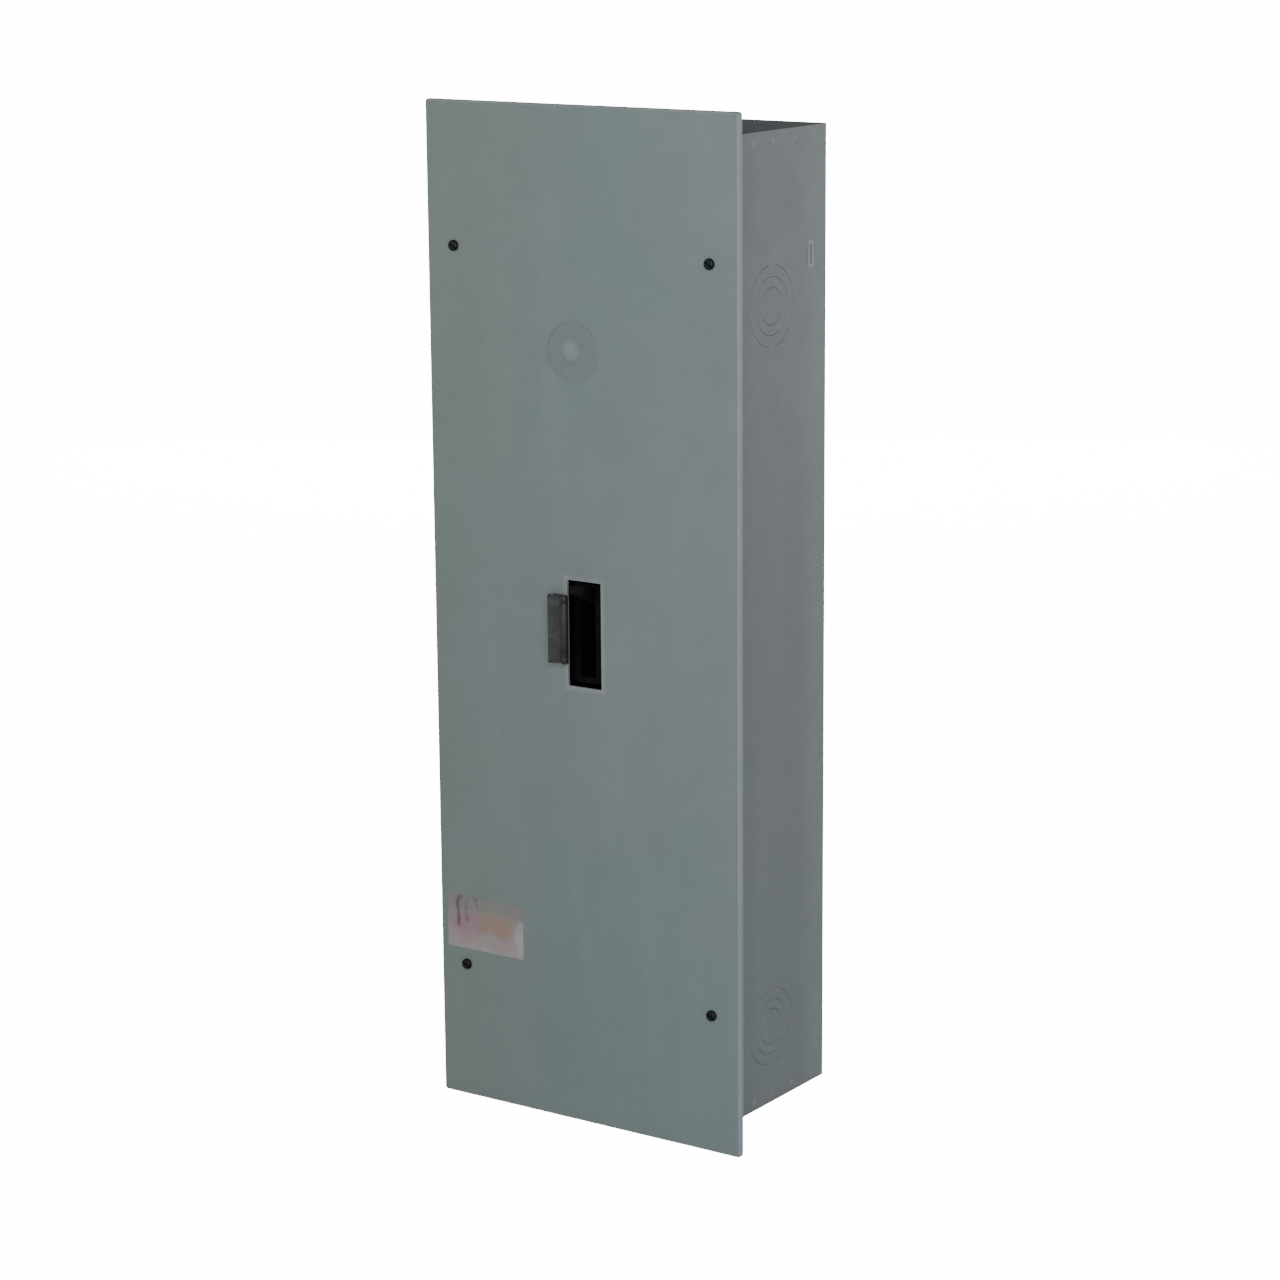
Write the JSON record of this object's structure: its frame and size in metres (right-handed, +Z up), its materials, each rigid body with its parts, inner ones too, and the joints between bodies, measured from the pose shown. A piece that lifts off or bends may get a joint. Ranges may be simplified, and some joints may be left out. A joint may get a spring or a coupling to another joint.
{
  "type": "flush-mounted circuit breaker enclosure",
  "caption": "Tall flush-mount steel breaker enclosure: overhanging screwed cover with handle opening and lock-off flap, box with knockouts, and a moulded-case main breaker inside",
  "frame": {"origin": "centre of the box's outer back face, which is the centre of the four wall-mounting holes", "axes": "+Z up; front cover faces -Y; +X to the viewer's right"},
  "size_m": [0.2858, 0.1653, 0.8002],
  "materials": {
    "cover_paint": "satin grey enamel",
    "box_paint": "satin grey enamel",
    "zinc_steel": "zinc plated",
    "dark_screw": "blackened steel",
    "label_stock": "faded printed sticker with no text",
    "breaker_label_stock": "blank satin label",
    "flap_steel": "dark grey steel",
    "pin_steel": "plain steel",
    "case_black": "black thermoset moulding",
    "toggle_black": "black moulding",
    "button_red": "red moulding",
    "spring_steel": "stamped steel",
    "insulating_moulding": "brown phenolic",
    "neutral_stand": "off-white moulding",
    "copper": "copper",
    "contact_silver": "silver alloy",
    "bimetal_strip": "bimetal",
    "arc_plates": "plated steel",
    "lug_aluminium": "tin plated aluminium"
  },
  "bodies": {
    "enclosure": {"box_wrapper": "box_paint", "box_top_end": "box_paint", "box_bottom_end": "box_paint", "cover_nuts": "zinc_steel", "mounting_pan": "zinc_steel", "pan_screws": "zinc_steel", "breaker_base": "case_black", "breaker_case": "case_black", "breaker_case_screws": "zinc_steel", "breaker_mounting_screws": "zinc_steel", "breaker_label": "breaker_label_stock", "toggle_pin": "pin_steel", "mechanism_frame": "spring_steel", "fixed_contacts": "contact_silver", "line_terminal_1": "copper", "line_terminal_2": "copper", "load_terminal_1": "copper", "load_terminal_2": "copper", "bimetal_1": "bimetal_strip", "bimetal_2": "bimetal_strip", "arc_chute_1": "arc_plates", "arc_chute_2": "arc_plates", "line_lug_1": "lug_aluminium", "line_lug_2": "lug_aluminium", "load_lug_1": "lug_aluminium", "load_lug_2": "lug_aluminium", "lug_screws": "lug_aluminium", "neutral_insulator": "neutral_stand", "neutral_bar": "lug_aluminium", "neutral_screws": "zinc_steel", "neutral_lug": "lug_aluminium", "bonding_strap": "copper", "bonding_screw": "zinc_steel", "ground_bar": "lug_aluminium", "ground_screws": "zinc_steel"},
    "cover": {"front_cover": "cover_paint", "cover_screws": "dark_screw", "cover_label": "label_stock", "flap_bracket": "flap_steel", "flap_pin": "pin_steel", "flap_rivets": "pin_steel"},
    "flap": {"flap_leaf": "flap_steel"},
    "toggle": {"toggle_handle": "toggle_black"},
    "contacts": {"contact_crossbar": "insulating_moulding", "contact_arm_1": "copper", "contact_arm_2": "copper", "moving_contacts": "contact_silver"},
    "trip_button": {"trip_button": "button_red", "trip_spring": "spring_steel"},
    "trip_bar": {"trip_bar": "insulating_moulding"}
  },
  "joints": [
    {"name": "cover_lift", "type": "slide", "parent": "enclosure", "child": "cover", "axis": [0, -1, 0], "range_m": [0, 0.15]},
    {"name": "flap_swing", "type": "hinge", "parent": "cover", "child": "flap", "pos_m": [-0.0146, -0.1583, 0], "axis": [0, 0, 1], "range_deg": [0, 150.5]},
    {"name": "toggle_throw", "type": "hinge", "parent": "enclosure", "child": "toggle", "pos_m": [0.0015, -0.0863, -0.003], "axis": [1, 0, 0], "range_deg": [0, 50]},
    {"name": "contact_swing", "type": "hinge", "parent": "enclosure", "child": "contacts", "pos_m": [0.0015, -0.0783, -0.011], "axis": [1, 0, 0], "range_deg": [0, 20]},
    {"name": "trip_press", "type": "slide", "parent": "enclosure", "child": "trip_button", "axis": [0, 1, 0], "range_m": [0, 0.0025], "stiffness_N_per_m": 400, "springref_m": -0.0005},
    {"name": "trip_bar_turn", "type": "hinge", "parent": "enclosure", "child": "trip_bar", "pos_m": [0.0015, -0.1123, -0.047], "axis": [-1, 0, 0], "range_deg": [0, 12]}
  ],
  "couplings": [
    {"joint": "contact_swing", "follows": "toggle_throw", "ratio": 0.4},
    {"joint": "trip_bar_turn", "follows": "trip_press", "rad_per_m": 71}
  ]
}
